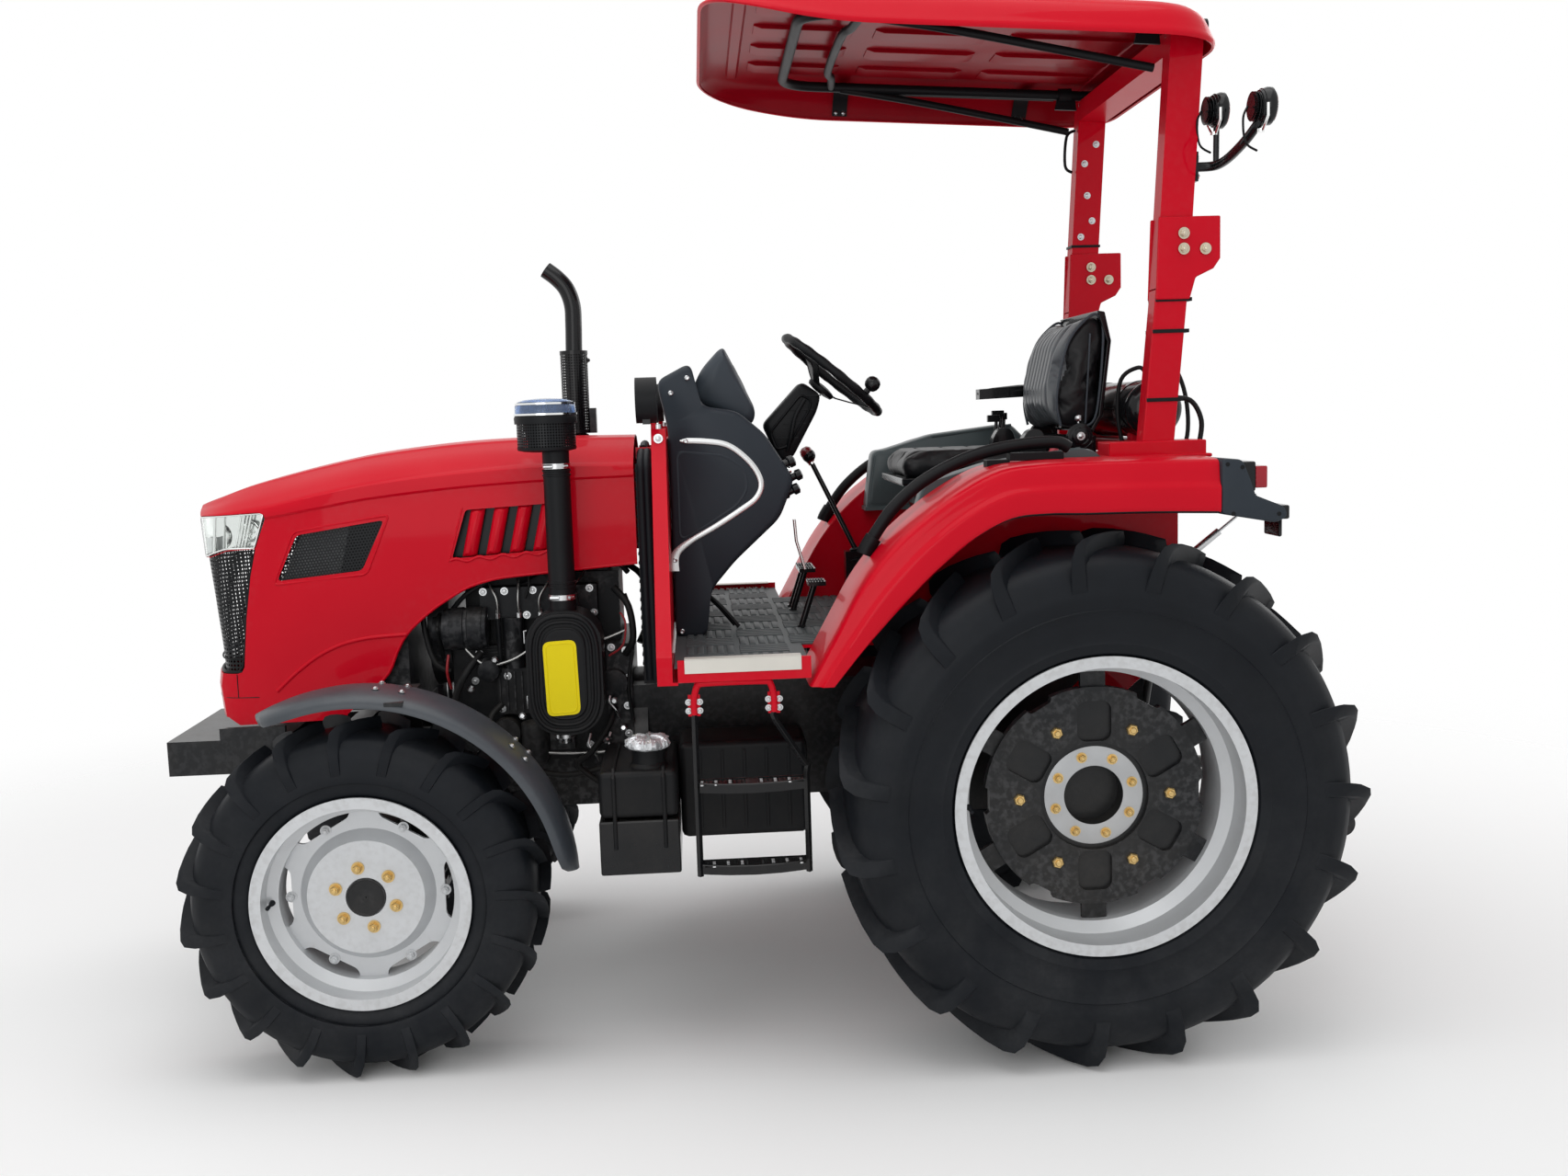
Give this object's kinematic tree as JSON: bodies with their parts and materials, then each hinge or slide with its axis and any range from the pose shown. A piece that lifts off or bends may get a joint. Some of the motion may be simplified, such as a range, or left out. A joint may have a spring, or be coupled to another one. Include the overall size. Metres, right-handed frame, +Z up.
{
  "type": "farm tractor with roll bar and canopy",
  "caption": "Four wheel drive farm tractor with open platform, folding roll bar and canopy, steered front axle, opening hood and rear three point hitch.",
  "frame": {"origin": "on the ground, at the middle of the bounding box", "axes": "+X forward, +Y to the driver's left, +Z up"},
  "size_m": [3.3369, 1.788, 2.7499],
  "materials": {
    "red_paint": "gloss enamel",
    "black_plastic": "fine grained black",
    "grey_plastic": "slate grey, fine grained",
    "tyre_rubber": "moulded tyre rubber",
    "silver_paint": "silver enamel",
    "black_iron": "black painted casting",
    "black_steel": "satin black enamel",
    "seat_vinyl": "black vinyl",
    "lamp_glass": "clear",
    "bright_steel": "ground",
    "mesh": "perforated black",
    "radiator_core": "dull"
  },
  "bodies": {
    "chassis": {"front_frame": "black_steel", "front_axle": "black_iron", "engine": "black_iron", "radiator": "radiator_core", "air_cleaner": "black_plastic", "precleaner": "black_plastic", "exhaust": "black_steel", "transmission": "black_iron", "rear_axle": "black_iron", "drawbar": "black_steel", "fuel_tank": "black_plastic", "battery_box": "black_steel", "platform": "black_steel", "pillar_frame": "red_paint", "steps": "black_steel", "dash_cowl": "grey_plastic", "steering_column": "black_plastic", "pedals_levers": "black_steel", "fenders": "red_paint", "fender_tails": "grey_plastic", "grab_handles": "black_plastic", "fender_consoles": "grey_plastic", "seat_frame": "black_steel", "seat_cushion": "seat_vinyl", "seat_backrest": "seat_vinyl", "rops_base": "red_paint", "air_reservoir": "black_steel", "pillar_lamps": "black_plastic", "bulkhead": "black_steel"},
    "hood_body": {"hood": "red_paint", "hood_grilles": "mesh", "headlamps": "lamp_glass"},
    "hand_wheel": {"steering_wheel": "black_plastic"},
    "track_rod": {"steering_rod": "bright_steel"},
    "steer_left": {"knuckle_left": "black_iron", "mudguard_left": "black_plastic"},
    "steer_right": {"knuckle_right": "black_iron", "mudguard_right": "black_plastic"},
    "front_wheel_left": {"front_tyre_left": "tyre_rubber", "front_rim_left": "silver_paint"},
    "front_wheel_right": {"front_tyre_right": "tyre_rubber", "front_rim_right": "silver_paint"},
    "rear_wheel_left": {"rear_tyre_left": "tyre_rubber", "rear_rim_left": "silver_paint", "rear_disc_left": "black_iron"},
    "rear_wheel_right": {"rear_tyre_right": "tyre_rubber", "rear_rim_right": "silver_paint", "rear_disc_right": "black_iron"},
    "roll_bar": {"rops_upper": "red_paint", "canopy": "red_paint", "canopy_frame": "black_steel", "work_lamps": "black_plastic"},
    "rock_arms": {"lift_arms": "black_iron"},
    "hang_rods": {"lift_rods": "black_steel"},
    "draft_links": {"lower_links": "black_steel"}
  },
  "joints": [
    {"name": "front_left_spin", "type": "hinge", "parent": "steer_left", "child": "front_wheel_left", "pos_m": [1.0585, 0.585, 0.46914], "axis": [0, 1, 0], "continuous": true},
    {"name": "front_right_spin", "type": "hinge", "parent": "steer_right", "child": "front_wheel_right", "pos_m": [1.0585, -0.585, 0.46914], "axis": [0, 1, 0], "continuous": true},
    {"name": "rear_left_spin", "type": "hinge", "parent": "chassis", "child": "rear_wheel_left", "pos_m": [-0.8185, 0.705, 0.67924], "axis": [0, 1, 0], "continuous": true},
    {"name": "rear_right_spin", "type": "hinge", "parent": "chassis", "child": "rear_wheel_right", "pos_m": [-0.8185, -0.705, 0.67924], "axis": [0, 1, 0], "continuous": true},
    {"name": "steer", "type": "hinge", "parent": "chassis", "child": "steer_left", "pos_m": [1.0585, 0.455, 0.46914], "axis": [0, 0, 1], "range_deg": [-30, 30]},
    {"name": "steer_follow", "type": "hinge", "parent": "chassis", "child": "steer_right", "pos_m": [1.0585, -0.455, 0.46914], "axis": [0, 0, 1], "range_deg": [-31, 31]},
    {"name": "hand_wheel_turn", "type": "hinge", "parent": "chassis", "child": "hand_wheel", "pos_m": [-0.2445, 0, 1.78124], "axis": [-0.6455, 0, 0.7638], "range_deg": [-361, 361]},
    {"name": "track_rod_slide", "type": "slide", "parent": "chassis", "child": "track_rod", "axis": [0, 1, 0], "range_m": [-0.082, 0.082]},
    {"name": "hood_open", "type": "hinge", "parent": "chassis", "child": "hood_body", "pos_m": [0.3215, 0, 1.57524], "axis": [0, -1, 0], "range_deg": [0, 50]},
    {"name": "roll_bar_fold", "type": "hinge", "parent": "chassis", "child": "roll_bar", "pos_m": [-1.1925, 0, 2.07024], "axis": [0, -1, 0], "range_deg": [0, 95]},
    {"name": "hitch_lift", "type": "hinge", "parent": "chassis", "child": "draft_links", "pos_m": [-0.8785, 0, 0.53924], "axis": [0, 1, 0], "range_deg": [-8, 25]},
    {"name": "rock_shaft", "type": "hinge", "parent": "chassis", "child": "rock_arms", "pos_m": [-1.0635, 0, 0.97924], "axis": [0, 1, 0], "range_deg": [-14, 40]},
    {"name": "rod_swing", "type": "hinge", "parent": "rock_arms", "child": "hang_rods", "pos_m": [-1.3097, 0, 0.93583], "axis": [0, 1, 0], "range_deg": [-40, 14]}
  ],
  "couplings": [
    {"joint": "steer_follow", "follows": "steer", "ratio": 1},
    {"joint": "hand_wheel_turn", "follows": "steer", "ratio": 12},
    {"joint": "track_rod_slide", "follows": "steer", "m_per_rad": -0.15},
    {"joint": "rock_shaft", "follows": "hitch_lift", "ratio": 1.556},
    {"joint": "rod_swing", "follows": "hitch_lift", "ratio": -1.556}
  ]
}
